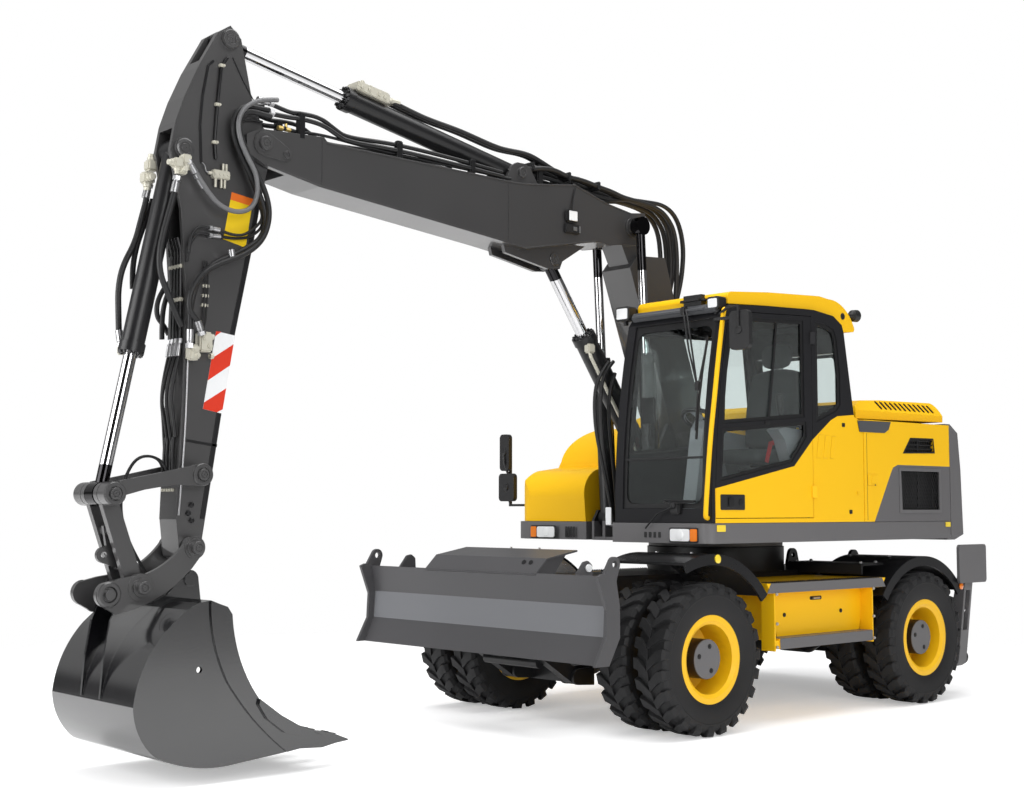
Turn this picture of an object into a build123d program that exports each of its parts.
from build123d import *
import math
import os

# A wheeled excavator with a two-piece boom, a front blade, rear outriggers and twin tyres.
#
# The frame: +X is the machine's front, +Y its left, +Z up. The origin is on the slew axis at ground level.
# All sizes are millimetres. Each piece is one solid, or several that do not touch, in its own file.

# ---------------------------------------------------------------- driving dimensions
FRONT_AXLE_X = 1538
REAR_AXLE_X = -1063
TYRE_RADIUS = 520
TYRE_WIDTH = 275
INNER_TYRE_Y = 780
OUTER_TYRE_Y = 1140
KINGPIN_Y = 660
RIM_RADIUS = 250

CHASSIS_TOP = 1050
RING_RADIUS = 550
DECK_BOTTOM = 1298
DECK_TOP = 1438
TAIL_RADIUS = 2080
REAR_SEAM = -1518      # where the counterweight meets the deck and the engine housing
CAB_SEAM = -302        # where the cab and the tank end before the engine housing

PIN_GAP = 0.1          # radial running clearance round a pin
SIDE_GAP = 6           # side play between an eye and the ear beside it

# pins of the working group in the machine's middle plane, as (x, z)
FOOT_PIN = (300, 1850)
KNEE_PIN = (1120, 3690)
TIP_PIN = (4420, 3790)
HOIST_BASE = (1000, 1470)
ADJUST_BASE = (800, 1850)
ADJUST_EYE = (1880, 3370)
ARM_CYLINDER_BASE = (2230, 3955)
ARM_CYLINDER_EYE = (4640, 4415)
BUCKET_CYLINDER_BASE = (4950, 3680)
ROCKER_PIN = (4836, 1738)
CRANK_PIN = (5392, 1623)
BUCKET_PIN = (4863, 1311)
LINK_PIN = (5205, 1090)

# pins of the blade's parallel linkage and its cylinders, as (x, z)
BLADE_ARM_PIN = (1934, 359)
BLADE_LINK_PIN = (1934, 659)
BLADE_LOW_PIN = (2400, 650)
BLADE_TOP_PIN = (2400, 950)
BLADE_CYLINDER_BASE = (1840, 985)
BLADE_CYLINDER_EYE = (2280, 580)
BLADE_CYLINDER_Y = 200

# pins of the left outrigger, as (y, z), and the middle of its leg along x
OUTRIGGER_X = -1800
OUTRIGGER_PIN = (1070, 300)
OUTRIGGER_CYLINDER_BASE = (400, 985)
OUTRIGGER_CYLINDER_EYE = (1130, 700)

HOIST_Y = 235
os.makedirs("parts", exist_ok=True)


def save(builder, label):
    """Name a finished piece and write it to its own file."""
    builder.part.label = label
    export_step(builder.part, f"parts/{label}.step")


def side(y):
    """The plane at this y that faces -Y: local x is X, local y is Z, and extruding goes towards -Y."""
    return Plane.XZ.offset(-y)


def front(x):
    """The plane at this x that faces +X: local x is Y, local y is Z."""
    return Plane.YZ.offset(x)


def level(z):
    """The plane at this height that faces up."""
    return Plane.XY.offset(z)


def bearing(start, end):
    """Angle in degrees from start to end, both (x, z)."""
    return math.degrees(math.atan2(end[1] - start[1], end[0] - start[0]))


def span(start, end):
    """Distance from start to end."""
    return math.hypot(end[0] - start[0], end[1] - start[1])


def along(start, end, distance):
    """The point this far from start on the way to end."""
    share = distance / span(start, end)
    return (start[0] + share * (end[0] - start[0]), start[1] + share * (end[1] - start[1]))


def side_slab(points, y_high, width, mode=Mode.ADD):
    """A flat plate with a polygon outline in X and Z, from y_high down to y_high - width."""
    with BuildSketch(side(y_high)) as outline:
        with BuildLine():
            Polyline(*points, close=True)
        make_face()
    extrude(outline.sketch, amount=width, mode=mode)


def trace(path):
    """Draw a closed outline: a point ends a line, and a pair of points is an arc's middle and its end."""
    here = path[0]
    for step in path[1:]:
        if isinstance(step[0], tuple):
            ThreePointArc(here, *step)
            here = step[1]
        else:
            Line(here, step)
            here = step
    if here != path[0]:
        Line(here, path[0])


def side_curve(path, y_high, width, mode=Mode.ADD):
    """A flat plate with a traced outline in X and Z, from y_high down to y_high - width."""
    with BuildSketch(side(y_high)) as outline:
        with BuildLine():
            trace(path)
        make_face()
    extrude(outline.sketch, amount=width, mode=mode)


def side_disc(centre, radius, y_high, width, mode=Mode.ADD):
    """A cylinder along Y, from y_high down to y_high - width."""
    with BuildSketch(side(y_high)) as outline:
        with Locations(centre):
            Circle(radius)
    extrude(outline.sketch, amount=width, mode=mode)


def side_strap(start, end, radius, end_radius, y_high, width, mode=Mode.ADD):
    """A plate round two pins: the hull of two circles, from y_high down to y_high - width."""
    with BuildSketch(side(y_high)) as outline:
        with Locations(start):
            Circle(radius)
        with Locations(end):
            Circle(end_radius)
        make_hull()
    extrude(outline.sketch, amount=width, mode=mode)


def rod_plane(start, end, y=0):
    """The plane at start whose normal runs along the cylinder to end, both (x, z)."""
    angle = math.radians(bearing(start, end))
    return Plane(origin=(start[0], y, start[1]), x_dir=(0, 1, 0),
                 z_dir=(math.cos(angle), 0, math.sin(angle)))


def round_bar(plane, first, length, radius, mode=Mode.ADD):
    """A cylinder along a plane's normal that starts at the distance first."""
    with BuildSketch(plane.offset(first)) as outline:
        Circle(radius)
    extrude(outline.sketch, amount=length, mode=mode)


# ================================================================ undercarriage
# ---- chassis: a spine over both axles, a wide middle under the slew ring, a beam for the outriggers
SPINE_HALF = 340
LASH_LUG, LUG_BORE = (-1440, 1130), 22
spine = [(-1610, 560), (-1290, 560), (-1250, 720), (-876, 720), (-836, 560), (1215, 560), (1255, 730),
         (1725, 730), (1765, 560), (1765, 290), (1790, 290), (1790, 880), (1700, CHASSIS_TOP),
         (-1610, CHASSIS_TOP)]
BEAM_X = (-1930, -1610)
EAR = 30
with BuildPart() as chassis_frame:
    side_slab(spine, SPINE_HALF, 2 * SPINE_HALF)
    with BuildSketch(level(620)) as middle:
        with Locations((80, 0)):
            Rectangle(1440, 1040)
    extrude(middle.sketch, amount=CHASSIS_TOP - 620)
    with BuildSketch(level(CHASSIS_TOP)) as ring:
        Circle(RING_RADIUS)
        Circle(RING_RADIUS - 90, mode=Mode.SUBTRACT)
    extrude(ring.sketch, amount=190)
    # holed lugs to lift or lash the machine by, beside the rear axle
    for y_high in (SPINE_HALF, -SPINE_HALF + 30):
        side_strap((LASH_LUG[0], CHASSIS_TOP - 30), LASH_LUG, 90, 60, y_high, 30)
        side_disc(LASH_LUG, LUG_BORE, y_high, 30, Mode.SUBTRACT)
    # the beam of the outriggers and the mast above it
    with BuildSketch(front(BEAM_X[0])) as beam:
        with BuildLine():
            Polyline((-930, 280), (930, 280), (930, 440), (320, 520), (320, 1010), (-320, 1010),
                     (-320, 520), (-930, 440), close=True)
        make_face()
    extrude(beam.sketch, amount=BEAM_X[1] - BEAM_X[0])
    for hand in (1, -1):
        # two plates that carry each outrigger's pin
        for ear_x in (OUTRIGGER_X - 75 - EAR, OUTRIGGER_X + 75):
            with BuildSketch(front(ear_x)) as ear:
                with Locations((hand * OUTRIGGER_PIN[0], OUTRIGGER_PIN[1])):
                    Circle(62)
                with Locations((hand * 900, 300)):
                    Rectangle(40, 40)
                with Locations((hand * 900, 420)):
                    Rectangle(40, 30)
                make_hull()
            extrude(ear.sketch, amount=EAR)
        with BuildSketch(front(OUTRIGGER_X - 75 - EAR)) as pin:
            with Locations((hand * OUTRIGGER_PIN[0], OUTRIGGER_PIN[1])):
                Circle(30)
        extrude(pin.sketch, amount=150 + 2 * EAR)
        # the foot of the outrigger's cylinder
        for ear_x in (OUTRIGGER_X - 70, OUTRIGGER_X + 46):
            with BuildSketch(front(ear_x)) as ear:
                with Locations((hand * OUTRIGGER_CYLINDER_BASE[0], OUTRIGGER_CYLINDER_BASE[1])):
                    Circle(45)
                with Locations((hand * 300, 980)):
                    Rectangle(20, 60)
                make_hull()
            extrude(ear.sketch, amount=24)
        with BuildSketch(front(OUTRIGGER_X - 70)) as pin:
            with Locations((hand * OUTRIGGER_CYLINDER_BASE[0], OUTRIGGER_CYLINDER_BASE[1])):
                Circle(22)
        extrude(pin.sketch, amount=140)
        # ears for the blade's arms, links and cylinders; each pair grips its pin
        for pin_at, inner, outer, boss in ((BLADE_ARM_PIN, 240, 380, 55), (BLADE_LINK_PIN, 60, 150, 50),
                                           (BLADE_CYLINDER_BASE, 128, 272, 48)):
            for low, high in ((inner, inner + 24), (outer - 24, outer)):
                y_high = high if hand > 0 else -low
                with BuildSketch(side(y_high)) as ear:
                    with Locations(pin_at):
                        Circle(boss)
                    with Locations((1785, pin_at[1] if pin_at[1] < 800 else 830)):
                        Rectangle(10, 130)
                    make_hull()
                extrude(ear.sketch, amount=24)
            side_disc(pin_at, 28, outer if hand > 0 else -inner, outer - inner)
save(chassis_frame, "chassis_frame")

# ---- axles: a turned housing on the wheel line; the front one ends in yokes that hold the kingpins
AXLE_Z = TYRE_RADIUS
STEER_ARM = (-235, -60)     # the steering pin from the kingpin, as (x, y towards the middle)
STEER_Z = AXLE_Z - 150      # the steering rod's height


def wheel_line(x):
    """A plane on a wheel line whose local x is the distance along Y and local y the radius."""
    return Plane(origin=(x, 0, AXLE_Z), x_dir=(0, 1, 0), z_dir=(1, 0, 0))


def turned(plane, profile, mode=Mode.ADD):
    """Turn a profile of (distance along the axis, radius) about the plane's local x axis."""
    with BuildSketch(plane) as half:
        with BuildLine():
            Polyline(*profile, close=True)
        make_face()
    revolve(half.sketch, axis=Axis(plane.origin, plane.x_dir), mode=mode)


with BuildPart() as front_axle:
    turned(wheel_line(FRONT_AXLE_X), [(-545, 0), (-545, 105), (-260, 105), (-120, 190), (120, 190),
                                      (260, 105), (545, 105), (545, 0)])
    for hand in (1, -1):
        with BuildSketch(side(hand * KINGPIN_Y + 60)) as yoke:
            with Locations((FRONT_AXLE_X, AXLE_Z)):
                Rectangle(110, 330)
        extrude(yoke.sketch, amount=120)
    for hand in (1, -1):
        with BuildSketch(side(hand * (KINGPIN_Y + 15) + 90)) as gap:
            with Locations((FRONT_AXLE_X, AXLE_Z)):
                Rectangle(200, 254)
        extrude(gap.sketch, amount=180, mode=Mode.SUBTRACT)
        with BuildSketch(side(hand * 535 + 15)) as web:
            with Locations((FRONT_AXLE_X, AXLE_Z)):
                Rectangle(80, 330)
        extrude(web.sketch, amount=30)
        for low in (127, -165):
            with BuildSketch(side(hand * 570 + 35)) as shelf:
                with Locations((FRONT_AXLE_X, AXLE_Z + low + 19)):
                    Rectangle(80, 38)
            extrude(shelf.sketch, amount=70)
        for low in (95, -165):
            with BuildSketch(level(AXLE_Z + low)) as kingpin:
                with Locations((FRONT_AXLE_X, hand * KINGPIN_Y)):
                    Circle(30)
            extrude(kingpin.sketch, amount=70)
    # the steering cylinder's body across the back of the housing
    for hand in (1, -1):
        with BuildSketch(side(hand * 150 + 20)) as bracket:
            with Locations((FRONT_AXLE_X - 165, STEER_Z)):
                Rectangle(170, 80)
        extrude(bracket.sketch, amount=40)
    side_disc((FRONT_AXLE_X + STEER_ARM[0], STEER_Z), 48, 250, 500)
    side_disc((FRONT_AXLE_X + STEER_ARM[0], STEER_Z), 24.5, 260, 520, Mode.SUBTRACT)
save(front_axle, "front_axle")

with BuildPart() as rear_axle:
    turned(wheel_line(REAR_AXLE_X), [(-1050, 0), (-1050, 50), (-938, 50), (-938, 140), (-600, 140),
                                     (-600, 110), (-270, 110), (-130, 200), (130, 200), (270, 110),
                                     (600, 110), (600, 140), (938, 140), (938, 50), (1050, 50),
                                     (1050, 0)])
    # saddles that bolt the axle under the spine
    for hand in (1, -1):
        with BuildSketch(side(hand * 290 + 40)) as saddle:
            with Locations((REAR_AXLE_X, 660)):
                Rectangle(170, 120)
        extrude(saddle.sketch, amount=80)
save(rear_axle, "rear_axle")

# ---- transmission under the middle and its shafts to both axles
with BuildPart() as transmission:
    with BuildSketch(level(400)) as case:
        with Locations((60, 0)):
            Rectangle(420, 400)
    extrude(case.sketch, amount=160)
    for x_from, x_to in ((REAR_AXLE_X + 205, -150), (270, FRONT_AXLE_X - 290)):
        with BuildSketch(front(x_from)) as shaft:
            with Locations((0, 500)):
                Circle(45)
        extrude(shaft.sketch, amount=x_to - x_from)
save(transmission, "transmission")

# ---- steering: knuckles on the kingpins, and one double-ended rod that links their arms
for hand, word in ((1, "left"), (-1, "right")):
    with BuildPart() as knuckle:
        with BuildSketch(level(AXLE_Z - 120)) as boss:
            with Locations((FRONT_AXLE_X, hand * KINGPIN_Y)):
                Circle(66)
        extrude(boss.sketch, amount=240)
        plane = wheel_line(FRONT_AXLE_X)
        profile = [(700, 0), (700, 90), (735, 90), (735, 120), (938, 120), (938, 50), (1050, 50), (1050, 0)]
        turned(plane, [(hand * y, r) for y, r in profile])
        with BuildSketch(level(AXLE_Z - 120)) as arm_outline:
            with Locations((FRONT_AXLE_X + STEER_ARM[0], hand * (KINGPIN_Y + STEER_ARM[1]))):
                Circle(34)
            with Locations((FRONT_AXLE_X, hand * KINGPIN_Y)):
                Circle(40)
            make_hull()
        extrude(arm_outline.sketch, amount=30)
        with BuildSketch(level(AXLE_Z - 130)) as bore:
            with Locations((FRONT_AXLE_X, hand * KINGPIN_Y)):
                Circle(30 + PIN_GAP)
        extrude(bore.sketch, amount=260, mode=Mode.SUBTRACT)
    save(knuckle, f"knuckle_{word}")

with BuildPart() as tie_rod:
    rod_x, rod_z = FRONT_AXLE_X + STEER_ARM[0], STEER_Z
    reach = KINGPIN_Y + STEER_ARM[1]
    with BuildSketch(side(reach)) as rod:
        with Locations((rod_x, rod_z)):
            Circle(24)
    extrude(rod.sketch, amount=2 * reach)
    for hand in (1, -1):
        with BuildSketch(level(rod_z - 24)) as eye:
            with Locations((rod_x, hand * reach)):
                Circle(36)
        extrude(eye.sketch, amount=48)
save(tie_rod, "tie_rod")

# ---- wheels: twin tyres on one joined pair of rims with a hub
for x_at, end in ((FRONT_AXLE_X, "front"), (REAR_AXLE_X, "rear")):
    for hand, word in ((1, "left"), (-1, "right")):
        plane = wheel_line(x_at)
        with BuildPart() as tyres:
            for middle_y in (INNER_TYRE_Y, OUTER_TYRE_Y):
                half = TYRE_WIDTH / 2
                section = [(-half + 38, RIM_RADIUS + 1), (-half + 38, 303), (-half, 385), (-half, 460),
                           (-half + 45, TYRE_RADIUS), (half - 45, TYRE_RADIUS), (half, 460),
                           (half, 385), (half - 38, 303), (half - 38, RIM_RADIUS + 1)]
                turned(plane, [(hand * (middle_y + y), r) for y, r in section])
        save(tyres, f"tyres_{end}_{word}")
        with BuildPart() as rims:
            profile = [(1062, 0), (1215, 0), (1215, 135), (985, 135), (1022, 236), (1240, 236),
                       (1256, 262), (1256, 300), (1243, 300), (1243, RIM_RADIUS), (677, RIM_RADIUS),
                       (677, 300), (664, 300), (664, 236), (1000, 236), (960, 150),
                       (945, 50 + PIN_GAP), (1062, 50 + PIN_GAP)]
            turned(plane, [(hand * y, r) for y, r in profile])
        save(rims, f"rims_{end}_{word}")

# ---- fenders: curved covers over each pair of tyres with a deep lip outside, from a table of the
# arc's middle as (x, z), its radius, and its ends in degrees; the front pair clears the steered tyres
FENDER_OUTSIDE, FENDER_WIDTH, FENDER_SHEET, LIP = 1238, 690, 20, 75
FENDERS = (
    ((1500, 480), 750, 68, 143),
    ((-1090, 460), 702, 36, 143),
)
with BuildPart() as fenders:
    for middle, radius, arc_from, arc_to in FENDERS:
        for hand in (1, -1):
            outside = hand * FENDER_OUTSIDE
            # the sheet over the tyres, then the lip on its outer edge
            for depth, y_high, width in (
                    (FENDER_SHEET, outside if hand > 0 else outside + FENDER_WIDTH, FENDER_WIDTH),
                    (LIP, outside if hand > 0 else outside + FENDER_SHEET, FENDER_SHEET)):
                with BuildSketch(side(y_high)) as arch:
                    with BuildLine():
                        outer = CenterArc(middle, radius, arc_from, arc_to - arc_from)
                        inner = CenterArc(middle, radius - depth, arc_from, arc_to - arc_from)
                        Line(outer @ 0, inner @ 0)
                        Line(outer @ 1, inner @ 1)
                    make_face()
                extrude(arch.sketch, amount=width)
save(fenders, "fenders")

# ---- tool boxes: a locker on each side with a deep step above it and a narrow one before its foot
with BuildPart() as tool_boxes:
    for hand in (1, -1):
        side_slab([(-360, 580), (640, 580), (745, 960), (-440, 960)], 1120 if hand > 0 else -530, 590)
        side_slab([(-514, 937), (857, 937), (903, 1008), (-560, 1008)], 1235 if hand > 0 else -530, 705)
        side_slab([(-378, 538), (761, 538), (761, 612), (-378, 612)], 1235 if hand > 0 else -1110, 125)
        # hangers carry the lower step from the upper one
        for x_from in (-400, 800):
            side_slab([(x_from, 525), (x_from + 14, 525), (x_from + 14, 950), (x_from, 950)],
                      1228 if hand > 0 else -1110, 118)
        side_slab([(740, 560), (814, 560), (814, 600), (740, 600)], 1228 if hand > 0 else -1110, 118)
        side_slab([(-400, 560), (-370, 560), (-370, 600), (-400, 600)], 1228 if hand > 0 else -1110, 118)
save(tool_boxes, "tool_boxes")

# ---- blade and its parallel linkage
BLADE_HALF = 1270
LIFT_LUG = (2485, 1185)
blade_face = [(2600, 546), (2520, 722), (2505, 917), (2545, 1109), (2520, 1109), (2478, 917),
              (2492, 722), (2570, 546)]
with BuildPart() as blade:
    side_slab(blade_face, BLADE_HALF, 2 * BLADE_HALF)
    side_slab([(2480, 720), (2480, 915), (2425, 880), (2425, 750)], BLADE_HALF - 60, 2 * BLADE_HALF - 120)
    # a bent cover over the linkage, on two gussets
    side_slab([(2552, 1098), (2440, 1205), (2150, 1256), (2150, 1244), (2436, 1193), (2540, 1092)],
              590, 1180)
    for y_high in (560, -548):
        side_slab([(2530, 1095), (2440, 1200), (2220, 1238), (2440, 980), (2485, 917)], y_high, 12)
    for hand in (1, -1):
        y_high = BLADE_HALF if hand > 0 else -BLADE_HALF + 25
        side_slab([(2665, 546), (2570, 720), (2560, 900), (2640, 1109), (2600, 1125), (2480, 1125),
                   (2440, 917), (2440, 720), (2540, 546)], y_high, 25)
        # a lug to lift the machine by
        side_strap((2530, 1090), LIFT_LUG, 60, 48, y_high, 25)
        side_disc(LIFT_LUG, LUG_BORE, y_high, 25, Mode.SUBTRACT)
        for pin_at, low, high in ((BLADE_LOW_PIN, 240, 380), (BLADE_TOP_PIN, 60, 150)):
            for ear_low in (low, high - 24):
                y_top = ear_low + 24 if hand > 0 else -ear_low
                with BuildSketch(side(y_top)) as ear:
                    with Locations(pin_at):
                        Circle(46)
                    with Locations((2470, min(max(pin_at[1], 740), 900))):
                        Rectangle(24, 120)
                    make_hull()
                extrude(ear.sketch, amount=24)
            side_disc(pin_at, 28, high if hand > 0 else -low, high - low)
save(blade, "blade")

with BuildPart() as blade_arms:
    for hand in (1, -1):
        y_high = 350 if hand > 0 else -270
        side_strap(BLADE_ARM_PIN, BLADE_LOW_PIN, 52, 46, y_high, 80)
        side_disc(BLADE_ARM_PIN, 28 + PIN_GAP, y_high, 80, Mode.SUBTRACT)
        side_disc(BLADE_LOW_PIN, 28 + PIN_GAP, y_high, 80, Mode.SUBTRACT)
    # the cross tube sits just before the cylinders' eyes
    side_disc((2215, 470), 40, 280, 560)
save(blade_arms, "blade_arms")

with BuildPart() as blade_links:
    for hand in (1, -1):
        y_high = 126 - SIDE_GAP if hand > 0 else -84 - SIDE_GAP
        side_strap(BLADE_LINK_PIN, BLADE_TOP_PIN, 46, 42, y_high, 30)
        side_disc(BLADE_LINK_PIN, 28 + PIN_GAP, y_high, 30, Mode.SUBTRACT)
        side_disc(BLADE_TOP_PIN, 28 + PIN_GAP, y_high, 30, Mode.SUBTRACT)
save(blade_links, "blade_links")


# ================================================================ hydraulic cylinders
def barrel(start, end, y, length, radius, bore, bore_from, eye_radius, eye_width, pin):
    """A cylinder's body from its base eye at start: a closed tube with a gland at its mouth."""
    plane = rod_plane(start, end, y)
    round_bar(plane, 0, length - 60, radius)
    round_bar(plane, length - 60, 60, radius + 8)
    side_disc(start, eye_radius, y + eye_width / 2, eye_width)
    round_bar(plane, bore_from, length, bore + 0.5, Mode.SUBTRACT)
    side_disc(start, pin + PIN_GAP, y + eye_width / 2 + 20, eye_width + 40, Mode.SUBTRACT)
    if eye_width < 2 * radius:
        # nothing of the round tube stands out past the eye's flat sides near the ears
        for y_from in (y + eye_width / 2 + 60, y - eye_width / 2):
            side_disc(start, eye_radius + 25, y_from, 60, Mode.SUBTRACT)


def rod(start, end, y, inner_end, radius, eye_radius, eye_width):
    """A cylinder's rod with its eye at end; its inner end stays this far from the base pin."""
    plane = rod_plane(start, end, y)
    round_bar(plane, inner_end, span(start, end) - inner_end, radius)
    side_disc(end, eye_radius, y + eye_width / 2, eye_width)


# name, base pin, eye, y of each, barrel length, barrel radius, rod radius, rod's inner end,
# width of the base eye; the rod's eye is 96 wide, or as wide as the base eye where that is less
CYLINDERS = (
    ("hoist", HOIST_BASE, KNEE_PIN, (HOIST_Y, -HOIST_Y), 1235, 62, 35, 900, 76),
    ("adjust", ADJUST_BASE, ADJUST_EYE, (0,), 1218, 84, 46, 700, 172),
    ("arm_cylinder", ARM_CYLINDER_BASE, ARM_CYLINDER_EYE, (0,), 1522, 74, 42, 1050, 152),
    ("bucket_cylinder", BUCKET_CYLINDER_BASE, CRANK_PIN, (0,), 1263, 68, 38, 850, 140),
    ("blade_cylinder", BLADE_CYLINDER_BASE, BLADE_CYLINDER_EYE,
     (BLADE_CYLINDER_Y, -BLADE_CYLINDER_Y), 512, 40, 26, 105, 84),
)
for name, base, eye, places, length, radius, rod_radius, inner_end, width in CYLINDERS:
    eye_radius = 48 if name == "blade_cylinder" else 74
    pin = 28 if name == "blade_cylinder" else 40
    with BuildPart() as body:
        for y in places:
            barrel(base, eye, y, length, radius, rod_radius, 62 if name == "blade_cylinder" else 110,
                   eye_radius, width, pin)
    save(body, f"{name}_barrels" if len(places) > 1 else f"{name}_barrel")
    with BuildPart() as piston:
        for y in places:
            rod(base, eye, y, inner_end, rod_radius, eye_radius - 4, min(width, 96))
    save(piston, f"{name}_rods" if len(places) > 1 else f"{name}_rod")

# ---- outriggers: a leg with its foot plate, and a cylinder across the machine, on each side
for hand, word in ((1, "left"), (-1, "right")):
    with BuildPart() as outrigger:
        with BuildSketch(front(OUTRIGGER_X - 60)) as leg:
            with Locations((hand * OUTRIGGER_PIN[0], OUTRIGGER_PIN[1])):
                Circle(72)
            with Locations((hand * 1200, 1090)):
                Rectangle(60, 40)
            make_hull()
        extrude(leg.sketch, amount=120)
        # the eye of the cylinder runs in a slot through the leg
        with BuildSketch(front(OUTRIGGER_X - 34)) as slot:
            with Locations((hand * 1120, 700)):
                Rectangle(240, 330)
        extrude(slot.sketch, amount=68, mode=Mode.SUBTRACT)
        with BuildSketch(front(OUTRIGGER_X - 80)) as bore:
            with Locations((hand * OUTRIGGER_PIN[0], OUTRIGGER_PIN[1])):
                Circle(30 + PIN_GAP)
        extrude(bore.sketch, amount=160, mode=Mode.SUBTRACT)
        # the foot plate, held upright while the leg is stowed
        with BuildSketch(side(hand * 1257 + 13)) as foot:
            with Locations((OUTRIGGER_X + 20, 1087)):
                RectangleRounded(415, 315, 30)
        extrude(foot.sketch, amount=26)
        with BuildSketch(side(hand * 1237 + 10)) as cup:
            with Locations((OUTRIGGER_X, 1085)):
                Circle(70)
        extrude(cup.sketch, amount=20)
    save(outrigger, f"outrigger_{word}")

    y_z = {"base": OUTRIGGER_CYLINDER_BASE, "eye": OUTRIGGER_CYLINDER_EYE}
    slope = math.atan2(y_z["eye"][1] - y_z["base"][1], y_z["eye"][0] - y_z["base"][0])
    start = Vector(OUTRIGGER_X, hand * y_z["base"][0], y_z["base"][1])
    plane = Plane(origin=start, x_dir=(1, 0, 0), z_dir=(0, hand * math.cos(slope), math.sin(slope)))
    reach = span(y_z["base"], y_z["eye"])
    with BuildPart() as body:
        round_bar(plane, 0, 700, 42)
        with BuildSketch(front(OUTRIGGER_X - 30)) as eye_disc:
            with Locations((start.Y, start.Z)):
                Circle(45)
        extrude(eye_disc.sketch, amount=60)
        round_bar(plane, 62, 700, 26.5, Mode.SUBTRACT)
        for x_from in (OUTRIGGER_X - 90, OUTRIGGER_X + 30):
            with BuildSketch(front(x_from)) as trim:
                with Locations((start.Y, start.Z)):
                    Circle(62)
            extrude(trim.sketch, amount=60, mode=Mode.SUBTRACT)
        with BuildSketch(front(OUTRIGGER_X - 60)) as bore:
            with Locations((start.Y, start.Z)):
                Circle(22 + PIN_GAP)
        extrude(bore.sketch, amount=120, mode=Mode.SUBTRACT)
    save(body, f"outrigger_barrel_{word}")
    with BuildPart() as piston:
        round_bar(plane, 95, reach - 95, 26)
        with BuildSketch(front(OUTRIGGER_X - 28)) as eye_disc:
            with Locations((hand * y_z["eye"][0], y_z["eye"][1])):
                Circle(42)
        extrude(eye_disc.sketch, amount=56)
    save(piston, f"outrigger_rod_{word}")


# ================================================================ upper structure
# ---- upper frame: a deck with its side belt, and the boom's foot between two tall plates
deck_outline = [(450, 305), (1510, 305), (1510, 1150), ((1486, 1208), (1428, 1232)), (REAR_SEAM + 6, 1232),
                (REAR_SEAM + 6, -1240), (900, -1240), ((1080, -1165), (1150, -985)), (1100, -380),
                (450, -380)]
with BuildPart() as upper_frame:
    with BuildSketch(level(DECK_BOTTOM)) as deck:
        with BuildLine():
            trace(deck_outline)
        make_face()
    extrude(deck.sketch, amount=DECK_TOP - DECK_BOTTOM)
    with BuildSketch(level(DECK_BOTTOM)) as pockets:
        with Locations((-1020, 0)):
            Rectangle(800, 2320)
        for y_middle in (875, -880):
            with Locations((100, y_middle)):
                Rectangle(1300, 560)
    extrude(pockets.sketch, amount=DECK_TOP - DECK_BOTTOM - 30, mode=Mode.SUBTRACT)
    with BuildSketch(level(1245)) as race:
        Circle(RING_RADIUS - 10)
    extrude(race.sketch, amount=DECK_BOTTOM - 1245)
    # a tray between the foot plates carries the hoist cylinders
    with BuildSketch(level(DECK_BOTTOM)) as tray:
        with Locations((780, 0)):
            Rectangle(660, 600)
    extrude(tray.sketch, amount=25)
    for hand in (1, -1):
        y_high = 190 if hand > 0 else -161
        side_slab([(-285, 1430), (-285, 1640), (110, 1930), (200, 1985), (390, 1985), (480, 1900),
                   (800, 1620), (915, 1535), (1060, 1530), (1112, 1450), (1112, DECK_BOTTOM),
                   (450, DECK_BOTTOM), (450, 1430)], y_high, 29)
        y_high = 305 if hand > 0 else -280
        side_slab([(700, DECK_BOTTOM), (700, 1440), (915, 1535), (1060, 1530), (1112, 1450),
                   (1112, DECK_BOTTOM)], y_high, 25)
        side_disc(HOIST_BASE, 40, 305 if hand > 0 else -161, 144)
        side_disc(HOIST_BASE, 56, 194 if hand > 0 else -190, 4)
        side_disc(HOIST_BASE, 56, 280 if hand > 0 else -276, 4)
    side_disc(FOOT_PIN, 45, 205, 410)
save(upper_frame, "upper_frame")

# ---- counterweight: one casting that follows the tail's swing and narrows towards its top, from a
# table of height, x of the side's rear corner, half width and tail radius
WEIGHT_SECTIONS = (
    (1285, -1640, 1190, TAIL_RADIUS - 60),
    (1330, -1700, 1235, TAIL_RADIUS),
    (1860, -1676, 1235, TAIL_RADIUS - 20),
    (2165, -1645, 1232, TAIL_RADIUS - 45),
    (2240, -1590, 1195, TAIL_RADIUS - 130),
)
with BuildPart() as counterweight:
    for height, corner_x, half, radius in WEIGHT_SECTIONS:
        with BuildSketch(level(height)):
            with BuildLine():
                end_y = half - 190
                end_x = -math.sqrt(radius**2 - end_y**2)
                trace([(REAR_SEAM, half), (corner_x, half), (end_x, end_y), ((-radius, 0), (end_x, -end_y)),
                       (corner_x, -half), (REAR_SEAM, -half)])
            make_face()
    loft(ruled=True)
save(counterweight, "counterweight")

# ---- engine housing: side panels and bulkhead round one plain engine block
PANEL = 30
HOUSING_TOP = 2225
HOUSING_X = (REAR_SEAM + 8, CAB_SEAM - 4)
with BuildPart() as engine_housing:
    with BuildSketch(level(DECK_TOP + 2)) as walls:
        with Locations(((HOUSING_X[0] + HOUSING_X[1]) / 2, 0)):
            Rectangle(HOUSING_X[1] - HOUSING_X[0], 2470)
            Rectangle(HOUSING_X[1] - HOUSING_X[0] - 2 * PANEL, 2470 - 2 * PANEL, mode=Mode.SUBTRACT)
    extrude(walls.sketch, amount=HOUSING_TOP - DECK_TOP - 2)
    # the intake openings of the left side, high and low, and the one on the right
    side_slab([(-833, 1977), (-942, 2105), (-1275, 2108), (-1293, 1989)], 1240, 40, Mode.SUBTRACT)
    side_slab([(-793, 1847), (-1357, 1847), (-1357, 1523), (-793, 1523)], 1240, 40, Mode.SUBTRACT)
    side_slab([(-793, 1847), (-1357, 1847), (-1357, 1523), (-793, 1523)], -1200, 40, Mode.SUBTRACT)
save(engine_housing, "engine_housing")

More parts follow.
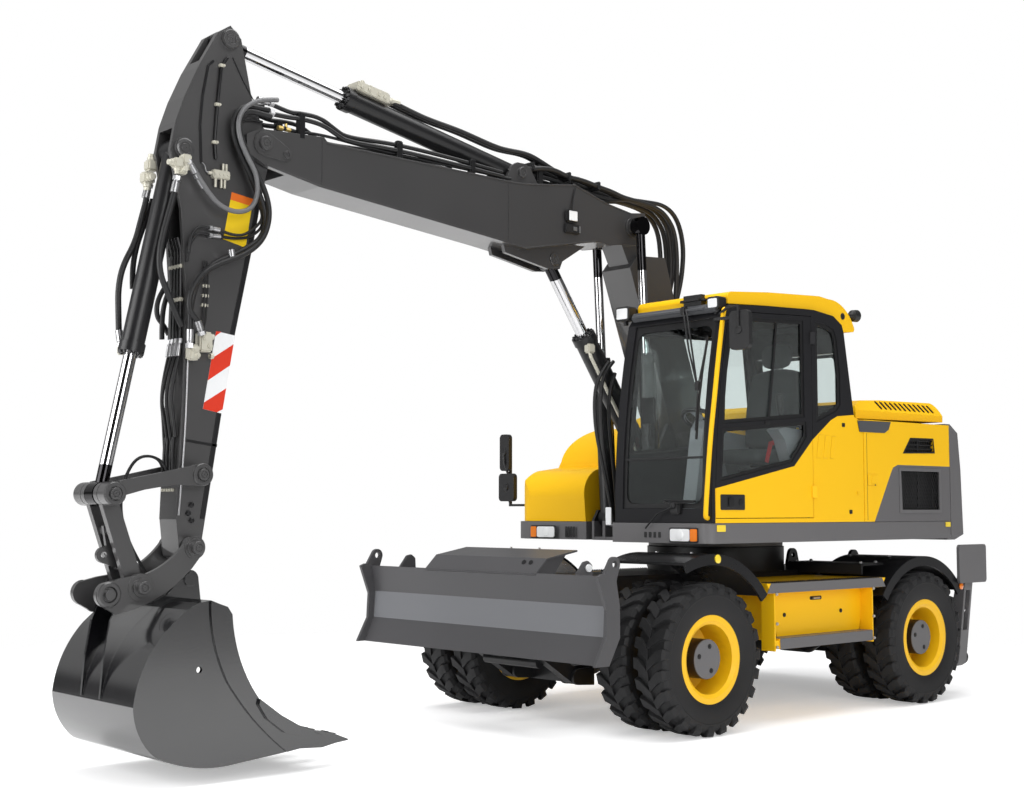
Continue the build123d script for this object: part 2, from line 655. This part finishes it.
with BuildPart() as engine:
    with BuildSketch(level(DECK_TOP)) as block:
        with Locations((-905, 80)):
            Rectangle(690, 1300)
    extrude(block.sketch, amount=640)
save(engine, "engine")

# ---- hood: hinged along its front edge, with chamfered sides for the louvres
HOOD_HINGE = (-282, 2247)
with BuildPart() as engine_hood:
    side_curve([(-285, 2235), (-1508, 2252), (-1510, 2330), ((-1488, 2388), (-1420, 2412)), (-700, 2400),
                (-420, 2385), (-310, 2335), (-285, 2290)], 1180, 2360)
    side_slab([(-320, 2200), (-1475, 2200), (-1480, 2325), (-1420, 2380), (-700, 2368), (-430, 2353),
               (-335, 2315)], 1060, 2120, Mode.SUBTRACT)
    for hand in (1, -1):
        with BuildSketch(front(-1600)) as chamfer:
            with BuildLine():
                Polyline((hand * 1090, 2430), (hand * 1190, 2290), (hand * 1250, 2290), (hand * 1250, 2430),
                         close=True)
            make_face()
        extrude(chamfer.sketch, amount=1400, mode=Mode.SUBTRACT)
        side_disc(HOOD_HINGE, 11, hand * 700 + 60, 120)
save(engine_hood, "engine_hood")

# ---- tank and locker ahead of the engine on the right, leaning inwards and rounded towards the front
with BuildPart() as tank_housing:
    side_curve([(CAB_SEAM + 6, DECK_TOP + 2), (1085, DECK_TOP + 2), (1100, 1620),
                ((1085, 1740), (960, 1850)), (740, 1880), ((660, 2090), (480, 2200)), (CAB_SEAM + 6, 2225)],
               -400, 835)
    with BuildSketch(front(CAB_SEAM)) as lean:
        with BuildLine():
            trace([(-1300, 1500), (-1236, 1500), (-1200, 1640), (-1040, 1930), ((-960, 2110), (-800, 2215)),
                   (-700, 2400), (-1300, 2400)])
        make_face()
    extrude(lean.sketch, amount=1500, mode=Mode.SUBTRACT)
    with BuildSketch(level(DECK_TOP)) as corner:
        with BuildLine():
            trace([(880, -1300), (880, -1236), ((1040, -1160), (1102, -960)), (1200, -960), (1200, -1300)])
        make_face()
    extrude(corner.sketch, amount=1000, mode=Mode.SUBTRACT)
save(tank_housing, "tank_housing")

# ---- cab: a hollow frame of one wall thickness with its windows cut; its front is one long arc
CAB_LEFT, CAB_RIGHT, WALL = 1232, 308, 50
GLASS = 8
FRONT_CENTRE = (-4700, 1503)
FRONT_RADIUS = 6185


def front_x(z, inset=0):
    """The x of the cab's front at this height, this far inside it."""
    return FRONT_CENTRE[0] + math.sqrt(FRONT_RADIUS**2 - (z - FRONT_CENTRE[1])**2) - inset


def front_arc(z_from, z_to, inset=0):
    """The middle and the end of the front's arc between two heights."""
    z_middle = (z_from + z_to) / 2
    return (front_x(z_middle, inset), z_middle), (front_x(z_to, inset), z_to)


CAB_LOW = DECK_TOP + 2
cab_side = [(CAB_SEAM, CAB_LOW), (front_x(CAB_LOW), CAB_LOW), front_arc(CAB_LOW, 2890), (1262, 2972),
            (850, 2998), (300, 3020), (60, 2996), (-50, 2935), (-72, 2879), (-188, 2240), (-240, 2222),
            (CAB_SEAM, 2217)]
cab_inner = [(-252, CAB_LOW + 40), (front_x(CAB_LOW + 40, WALL), CAB_LOW + 40),
             front_arc(CAB_LOW + 40, 2870, WALL), (1228, 2925), (850, 2950), (300, 2972), (75, 2950),
             (0, 2910), (-24, 2870), (-138, 2240), (-200, 2180), (-252, 2170)]


def door_path(gap):
    """The door's outline, smaller by this gap all round."""
    low, top = 1470 + gap, 2838 - gap
    return [(335 + gap, low), (front_x(low, 35 + gap), low), front_arc(low, top, 35 + gap),
            (1245 - gap, 2928 - gap), (335 + gap, 2972 - gap)]


def upper_window(gap):
    """The clear upper pane of the door."""
    return [(432 + gap, 2212 + gap), (1362 - gap, 2128 + gap), ((1328 - gap, 2500), (1240 - gap, 2852)),
            (1170, 2893 - gap), (432 + gap, 2928 - gap)]


def lower_window(gap):
    """The clear lower pane of the door, which follows the dark band's edge."""
    return [(410 + gap, 2178 - gap), (410 + gap, 2062), (588, 1876 + gap), (1392 - gap, 1730 + gap),
            (1362 - gap, 2093 - gap)]


def quarter_window(gap):
    """The window behind the door."""
    return [(288 - gap, 2182 + gap), (30, 2274 + gap), (-18 + gap, 2322), (-18 + gap, 2557),
            (20 + gap, 2830), (58, 2895 - gap), (156, 2925 - gap), (288 - gap, 2935 - gap)]


def right_window(gap):
    """The large window beside the boom."""
    return [(-80 + gap, 2062 + gap), (1340 - gap, 1940 + gap), (1225 - gap, 2850), (110, 2890 - gap),
            (10 + gap, 2830)]


SCREEN_Z = (1540, 1896, 2880)      # the windscreen's low edge, its split and its top edge
REAR_Z = (2310, 2730)
middle_y, width = (CAB_LEFT + CAB_RIGHT) / 2, CAB_LEFT - CAB_RIGHT
with BuildPart() as cab_frame:
    side_curve(cab_side, CAB_LEFT, width)
    side_curve(cab_inner, CAB_LEFT - WALL, width - 2 * WALL, Mode.SUBTRACT)
    side_curve(door_path(0), CAB_LEFT + 10, WALL + 20, Mode.SUBTRACT)
    side_slab(quarter_window(0), CAB_LEFT + 10, WALL + 20, Mode.SUBTRACT)
    side_slab(right_window(0), CAB_RIGHT + WALL + 10, WALL + 20, Mode.SUBTRACT)
    # windscreen and rear window
    for plane_x, depth, low, high, margin in ((0, 2000, SCREEN_Z[0], SCREEN_Z[2], 150),
                                              (-400, 380, REAR_Z[0], REAR_Z[1], 160)):
        with BuildSketch(front(plane_x)) as screen:
            with Locations((middle_y, (low + high) / 2)):
                Rectangle(width - margin, high - low)
        extrude(screen.sketch, amount=depth, mode=Mode.SUBTRACT)
save(cab_frame, "cab_frame")

# ---- roof: a cap that rises towards the rear and drops over the rear corner
with BuildPart() as cab_roof:
    side_curve([(1250, 2984), (850, 3006), (300, 3028), (56, 3004), (-62, 2946), (-92, 2888), (-255, 2902),
                (-268, 2925), ((-160, 3060), (60, 3128)), (180, 3140), (800, 3108), (1200, 3074),
                ((1236, 3062), (1254, 3030))], CAB_LEFT - 38, width - 62)
save(cab_roof, "cab_roof")

with BuildPart() as cab_door:
    side_curve(door_path(5), CAB_LEFT, 44)
    side_curve(upper_window(0), CAB_LEFT + 10, 70, Mode.SUBTRACT)
    side_slab(lower_window(0), CAB_LEFT + 10, 70, Mode.SUBTRACT)
    # two hinge barrels behind the rear edge
    for z in (1620, 2760):
        with BuildSketch(level(z)) as hinge:
            with Locations((325, 1250)):
                Circle(11)
            with Locations((353, 1234)):
                Rectangle(14, 12)
            make_hull()
        extrude(hinge.sketch, amount=90)
save(cab_door, "cab_door")

with BuildPart() as door_glass:
    side_curve(upper_window(2), CAB_LEFT - 15, GLASS)
    side_slab(lower_window(2), CAB_LEFT - 15, GLASS)
save(door_glass, "door_glass")

with BuildPart() as cab_glass:
    # the windscreen's two panes follow the front's arc
    for low, high in ((SCREEN_Z[0] + 2, SCREEN_Z[1] - 3), (SCREEN_Z[1] + 3, SCREEN_Z[2] - 2)):
        side_curve([(front_x(low, 18), low), front_arc(low, high, 18), (front_x(high, 18 + GLASS), high),
                    front_arc(high, low, 18 + GLASS)], middle_y + width / 2 - 78, width - 156)
    side_slab([(-163, REAR_Z[0] + 2), (-163 + GLASS, REAR_Z[0] + 2), (-87 + GLASS, REAR_Z[1] - 2),
               (-87, REAR_Z[1] - 2)], middle_y + width / 2 - 83, width - 166)
    side_slab(quarter_window(2), CAB_LEFT - 15, GLASS)
    side_slab(right_window(2), CAB_RIGHT + 23, GLASS)
save(cab_glass, "cab_glass")

CAB_FLOOR = DECK_TOP + 42
with BuildPart() as seat:
    with BuildSketch(level(CAB_FLOOR)) as post:
        with Locations((330, 770)):
            Rectangle(320, 300)
    extrude(post.sketch, amount=1862 - CAB_FLOOR)
    side_slab([(60, 1862), (620, 1862), (630, 1960), (600, 1985), (185, 1985), (72, 2560), (-30, 2560),
               (50, 1985)], 1010, 480)
    side_slab([(5, 2550), (30, 2550), (22, 2600), (-5, 2600)], 830, 120)
    side_slab([(-32, 2575), (60, 2575), (34, 2740), (-38, 2740)], 890, 240)
save(seat, "seat")

with BuildPart() as consoles:
    for y_high in (1140, 505):
        side_slab([(120, CAB_FLOOR), (300, CAB_FLOOR), (560, 2050), (640, 2120), (560, 2140), (200, 2110)],
                  y_high, 105)
    side_slab([(1080, CAB_FLOOR), (1210, CAB_FLOOR), (1100, 2120), (1045, 2190), (1000, 2165)], 830, 120)
    with BuildSketch(Plane(origin=(1020, 770, 2165), z_dir=(-0.5, 0, 0.87))) as wheel:
        Circle(175)
        Circle(150, mode=Mode.SUBTRACT)
        Rectangle(320, 40)
    extrude(wheel.sketch, amount=24)
save(consoles, "consoles")

# ---- mirrors: one head by the left front post, two heads one above the other on the right
MIRROR_HEADS = (
    # x, y, z of the middle, width, height
    (1362, 1415, 2765, 170, 270),
    (925, -1475, 1720, 190, 235),
    (925, -1500, 2015, 115, 310),
)
with BuildPart() as mirrors:
    for x, y, z, wide, tall in MIRROR_HEADS:
        with BuildSketch(front(x)) as head:
            with Locations((y, z)):
                RectangleRounded(wide, tall, 35)
        extrude(head.sketch, amount=40)
    # the left arm runs from the front post, the right one from the tank's front corner
    for low, high in (((1338, 1170, 2850), (1378, 1420, 2872)),
                      ((905, -1485, 1560), (925, -1465, 2100)), ((905, -1485, 1560), (925, -1238, 1580))):
        with BuildSketch(level(low[2])) as bar:
            with Locations(((low[0] + high[0]) / 2, (low[1] + high[1]) / 2)):
                Rectangle(high[0] - low[0], high[1] - low[1])
        extrude(bar.sketch, amount=high[2] - low[2])
save(mirrors, "mirrors")


# ================================================================ working group
HALF_BOOM, FORK = 150, 38
with BuildPart() as lower_boom:
    side_slab([(180, 1900), (200, 1790), (300, 1725), (400, 1745), (560, 1930), (737, 2300), (1145, 3380),
               (1060, 3480), (745, 3500), (660, 3240)], HALF_BOOM, 2 * HALF_BOOM)
    # a narrow head between the upper boom's fork plates
    side_strap((1020, 3465), KNEE_PIN, 105, 125, 105, 210)
    # ears for the adjusting cylinder
    for y_high in (118, -90):
        with BuildSketch(side(y_high)) as ear:
            with Locations(ADJUST_BASE):
                Circle(72)
            with Locations((640, 2170)):
                Circle(60)
            with Locations((500, 1900)):
                Circle(60)
            make_hull()
        extrude(ear.sketch, amount=28)
    side_disc(ADJUST_BASE, 40, 118, 236)
    side_disc(FOOT_PIN, 45 + PIN_GAP, 200, 400, Mode.SUBTRACT)
    side_disc(KNEE_PIN, 50, 196, 392)
    for y_high in (168, -154):
        side_disc(KNEE_PIN, 76, y_high, 14)
save(lower_boom, "lower_boom")

upper_outline = [(970, 3823), (985, 3640), (1060, 3560), (1235, 3548), (1360, 3524), (1478, 3537),
                 (1830, 3473), (2222, 3395), (2489, 3427), (4008, 3580), (4400, 3655), (4540, 3720),
                 (4545, 3830), (4454, 3880), (3976, 3907), (3948, 3878), (2313, 3865), (2173, 3876),
                 (1729, 3936), (1395, 3843), (1132, 3803)]
with BuildPart() as upper_boom:
    side_slab(upper_outline, HALF_BOOM, 2 * HALF_BOOM)
    # room for the lower boom's head and for the arm's boss between the fork plates
    side_slab([(900, 3400), (1275, 3400), (1310, 3700), (1275, 4000), (900, 4000)], HALF_BOOM - FORK,
              2 * (HALF_BOOM - FORK), Mode.SUBTRACT)
    side_slab([(4245, 3500), (4600, 3500), (4600, 4000), (4080, 4000), (4080, 3880), (4245, 3740)],
              HALF_BOOM - FORK, 2 * (HALF_BOOM - FORK), Mode.SUBTRACT)
    # a pocket in the belly for the eye of the adjusting cylinder
    side_slab([(1860, 3200), (2080, 3200), (2080, 3490), (1860, 3490)], 56, 112, Mode.SUBTRACT)
    side_disc(KNEE_PIN, 50 + PIN_GAP, 200, 400, Mode.SUBTRACT)
    for y_high in (88, -56):
        side_slab([(1568, 3500), (1803, 3359), (1830, 3300), (1945, 3289), (2366, 3362), (2400, 3480)],
                  y_high, 32)
    for y_high in (110, -80):
        side_slab([(2040, 3850), (2140, 3995), (2190, 4025), (2270, 4025), (2320, 3995), (2400, 3850)],
                  y_high, 30)
    side_disc(ARM_CYLINDER_BASE, 40, 126, 252)
    side_disc(TIP_PIN, 45, 176, 352)
    for y_high in (162, -HALF_BOOM):
        side_disc(TIP_PIN, 68, y_high, 12)
save(upper_boom, "upper_boom")

HALF_ARM = 100
ROCKER_Y, STRAP, CAP_Y = 190, 26, 202      # the rockers' outside, their plate, and the ends of all pins here
LIFT_EYE, LIFT_EYE_BORE = (5362, 1275), 18
arm_outline = [(4563, 4430), (4480, 4064), (4400, 3905), (4300, 3850), (4290, 3730), (4360, 3660),
               (4401, 3472), (4454, 3186), (4582, 2579), (4663, 2114), (4765, 1476), (4800, 1260),
               (4863, 1220), (4930, 1260), (4956, 1476), (4943, 1838), (4915, 2767), (4960, 3315),
               (5039, 3660), (5006, 3835), (4950, 3997), (4858, 4201), (4726, 4440), (4640, 4500)]
with BuildPart() as arm:
    side_slab(arm_outline, HALF_ARM, 2 * HALF_ARM)
    # slots for the eye of the arm cylinder at the top and for the bucket cylinder in the nose
    side_slab([(4400, 4222), (4750, 4215), (4900, 4285), (4900, 4600), (4400, 4600)], 56, 112,
              Mode.SUBTRACT)
    for y_high in (HALF_ARM + 12, -HALF_ARM):
        side_disc(ARM_CYLINDER_EYE, 62, y_high, 12)
    side_slab([(4852, 3800), (4858, 3500), (4850, 3050), (5100, 3050), (5100, 3800)], 76, 152,
              Mode.SUBTRACT)
    for y_high in (HALF_ARM + 22, -HALF_ARM):
        side_disc(BUCKET_CYLINDER_BASE, 66, y_high, 22)
    side_disc(BUCKET_CYLINDER_BASE, 40, HALF_ARM, 2 * HALF_ARM)
    side_disc(TIP_PIN, 45 + PIN_GAP, 200, 400, Mode.SUBTRACT)
    side_disc(ROCKER_PIN, 35, CAP_Y, 2 * CAP_Y)
    side_disc(BUCKET_PIN, 40 + PIN_GAP, 200, 400, Mode.SUBTRACT)
save(arm, "arm")

# ---- rockers: a bent strap on each side, with round ends that reach in to the arm and to the link
with BuildPart() as rockers:
    for y_high in (ROCKER_Y, -ROCKER_Y + STRAP):
        side_slab([(4860, 1801), (5112, 1746), (5360, 1696), (5360, 1606), (5210, 1646), (5030, 1676),
                   (4850, 1672)], y_high, STRAP)
    for pin_at, boss in ((ROCKER_PIN, 64), (CRANK_PIN, 68)):
        for y_high in (ROCKER_Y, -HALF_ARM - SIDE_GAP):
            side_disc(pin_at, boss, y_high, ROCKER_Y - HALF_ARM - SIDE_GAP)
        side_disc(pin_at, 35 + PIN_GAP, ROCKER_Y + 10, 2 * ROCKER_Y + 20, Mode.SUBTRACT)
save(rockers, "rockers")

# ---- bucket link: an H of two straps, a cross tube and a web with the lifting eye in its middle plane
with BuildPart() as bucket_link:
    for y_high in (HALF_ARM, -HALF_ARM + 42):
        side_strap(CRANK_PIN, LINK_PIN, 50, 52, y_high, 42)
        side_disc(CRANK_PIN, 68, y_high, 42)
        side_disc(LINK_PIN, 62, y_high, 42)
    side_disc((5322, 1420), 36, 60, 120)
    with BuildSketch(side(12)) as web:
        with Locations(LIFT_EYE):
            Circle(46)
        with Locations((5286, 1330), (5248, 1205)):
            Circle(14)
        make_hull()
    extrude(web.sketch, amount=24)
    side_slab([(5310, 1440), (5370, 1440), (5350, 1330), (5262, 1250)], 12, 24)
    side_slab([(5290, 1340), (5310, 1330), (5262, 1190), (5242, 1200)], 60, 120)
    side_disc(LIFT_EYE, LIFT_EYE_BORE, 12, 24, Mode.SUBTRACT)
    for y_high in (CAP_Y, -HALF_ARM + 42):
        side_disc(CRANK_PIN, 35, y_high, CAP_Y - HALF_ARM + 42)
save(bucket_link, "bucket_link")

# ---- quick coupler: two curved plates from the arm's nose past the link to the hook in front
COUPLER_Y, COUPLER_PLATE, HOOK = 158, 30, (5404, 1058)
coupler_plate = [(4900, 1372), ((5000, 1262), (5170, 1168)), (5330, 1146), (5440, 1120),
                 ((5478, 1048), (5430, 988)), (5356, 946), ((5110, 1022), (4985, 1098)), (4880, 1190),
                 (4800, 1288), ((4822, 1352), (4900, 1372))]
with BuildPart() as quick_coupler:
    for y_high in (COUPLER_Y, -COUPLER_Y + COUPLER_PLATE):
        side_curve(coupler_plate, y_high, COUPLER_PLATE)
        side_disc(LINK_PIN, 80, y_high + 4, COUPLER_PLATE + 8)
    # the pin in the arm's nose is held in bosses beside it, and both pins end in caps outside
    for y_high in (COUPLER_Y + 6, -HALF_ARM - SIDE_GAP):
        side_disc(BUCKET_PIN, 66, y_high, COUPLER_Y - HALF_ARM)
    side_disc(BUCKET_PIN, 40, CAP_Y, 2 * CAP_Y)
    for pin_at in (BUCKET_PIN, LINK_PIN):
        for y_high in (COUPLER_Y + 18, -COUPLER_Y + 6):
            side_disc(pin_at, 54, y_high, 24)
    for y_high in (CAP_Y, -COUPLER_Y + COUPLER_PLATE):
        side_disc(LINK_PIN, 38, y_high, CAP_Y - COUPLER_Y + COUPLER_PLATE)
        side_disc(HOOK, 30, y_high - (12 if y_high > 0 else 0), CAP_Y - COUPLER_Y + COUPLER_PLATE - 12)
    # a floor between the plates, behind the link's foot
    side_slab([(4930, 1158), (4985, 1108), (5058, 1062), (5066, 1078), (4998, 1122), (4944, 1170)],
              COUPLER_Y - 10, 2 * (COUPLER_Y - 10))
save(quick_coupler, "quick_coupler")

# ---- bucket: a curved shell with a box along its top edge, side strips, cutters, teeth and two ribs
BUCKET_HALF, SHEET, TOOTH_PITCH = 500, 25, 220
EAR_Y, EAR_PLATE, EAR_PIN = 124, 18, (4872, 1125)
shell = [(4819, 940), ((4762, 678), (4630, 445)), ((4515, 349), (4285, 235)), (4190, 202), (4190, 157),
         (4465, 125), (4781, 97), ((5045, 106), (5282, 187)), ((5381, 313), (5419, 467)),
         ((5359, 681), (5231, 865)), (5100, 977), (5027, 1012), (4951, 1024), (4850, 984)]
hollow = [(3900, 900), (4975, 908), (5095, 872), (5190, 836), (5250, 790), ((5341, 650), (5394, 467)),
          ((5358, 322), (5268, 208)), ((5040, 131), (4781, 122)), (4465, 150), (4400, 175), (4285, 205),
          (3900, 215)]
strip = [(4819, 940), ((4762, 678), (4630, 445)), ((4515, 349), (4285, 235)), (4231, 216), (4231, 154),
         (4440, 130), ((4664, 333), (4838, 554)), ((4928, 782), (4958, 1022)), (4850, 984)]
cutter = [(4640, 452), (4497, 348), (4377, 280), (4265, 240), (4262, 216), (4340, 208), (4470, 245),
          (4590, 335), (4646, 420)]
ear = [(4800, 1000), (4816, 1125), ((4872, 1181), (4925, 1143)), (5020, 1042), (5120, 1000), (5215, 1004),
       (5290, 1120), (5330, 1000), (5372, 905), (5408, 700), (5425, 480), (5412, 480), (5352, 672),
       (5225, 855), (5096, 966), (5024, 1000), (4951, 1012), (4858, 975)]
with BuildPart() as bucket:
    side_curve(shell, BUCKET_HALF, 2 * BUCKET_HALF)
    side_curve(hollow, BUCKET_HALF - SHEET, 2 * (BUCKET_HALF - SHEET), Mode.SUBTRACT)
    # the link's foot swings through this trough in the top box
    side_slab([(5000, 1100), (5000, 985), (5100, 930), (5240, 838), (5400, 838), (5400, 1100)],
              EAR_Y - EAR_PLATE - 2, 2 * (EAR_Y - EAR_PLATE - 2), Mode.SUBTRACT)
    for y_high in (EAR_Y, -EAR_Y + EAR_PLATE):
        side_curve(ear, y_high, EAR_PLATE)
        side_disc(EAR_PIN, 40, y_high + 10, EAR_PLATE + 20)
    for y_high in (BUCKET_HALF + 14, -BUCKET_HALF):
        side_curve(strip, y_high, 14)
    for y_high in (BUCKET_HALF + 34, -BUCKET_HALF - 14):
        side_slab(cutter, y_high, 20)
    side_disc((5019, 641), 18, BUCKET_HALF + 50, 2 * BUCKET_HALF + 100, Mode.SUBTRACT)
    # an adapter and a pointed tooth at each place along the lip
    for step in range(-2, 3):
        y_high = step * TOOTH_PITCH + 45
        side_slab([(4420, 140), (4420, 205), (4300, 236), (4150, 214), (4080, 200), (4080, 140),
                   (4180, 124)], y_high, 90)
        side_slab([(4130, 214), (3982, 154), (3982, 146), (4130, 134)], y_high - 10, 70)
save(bucket, "bucket")
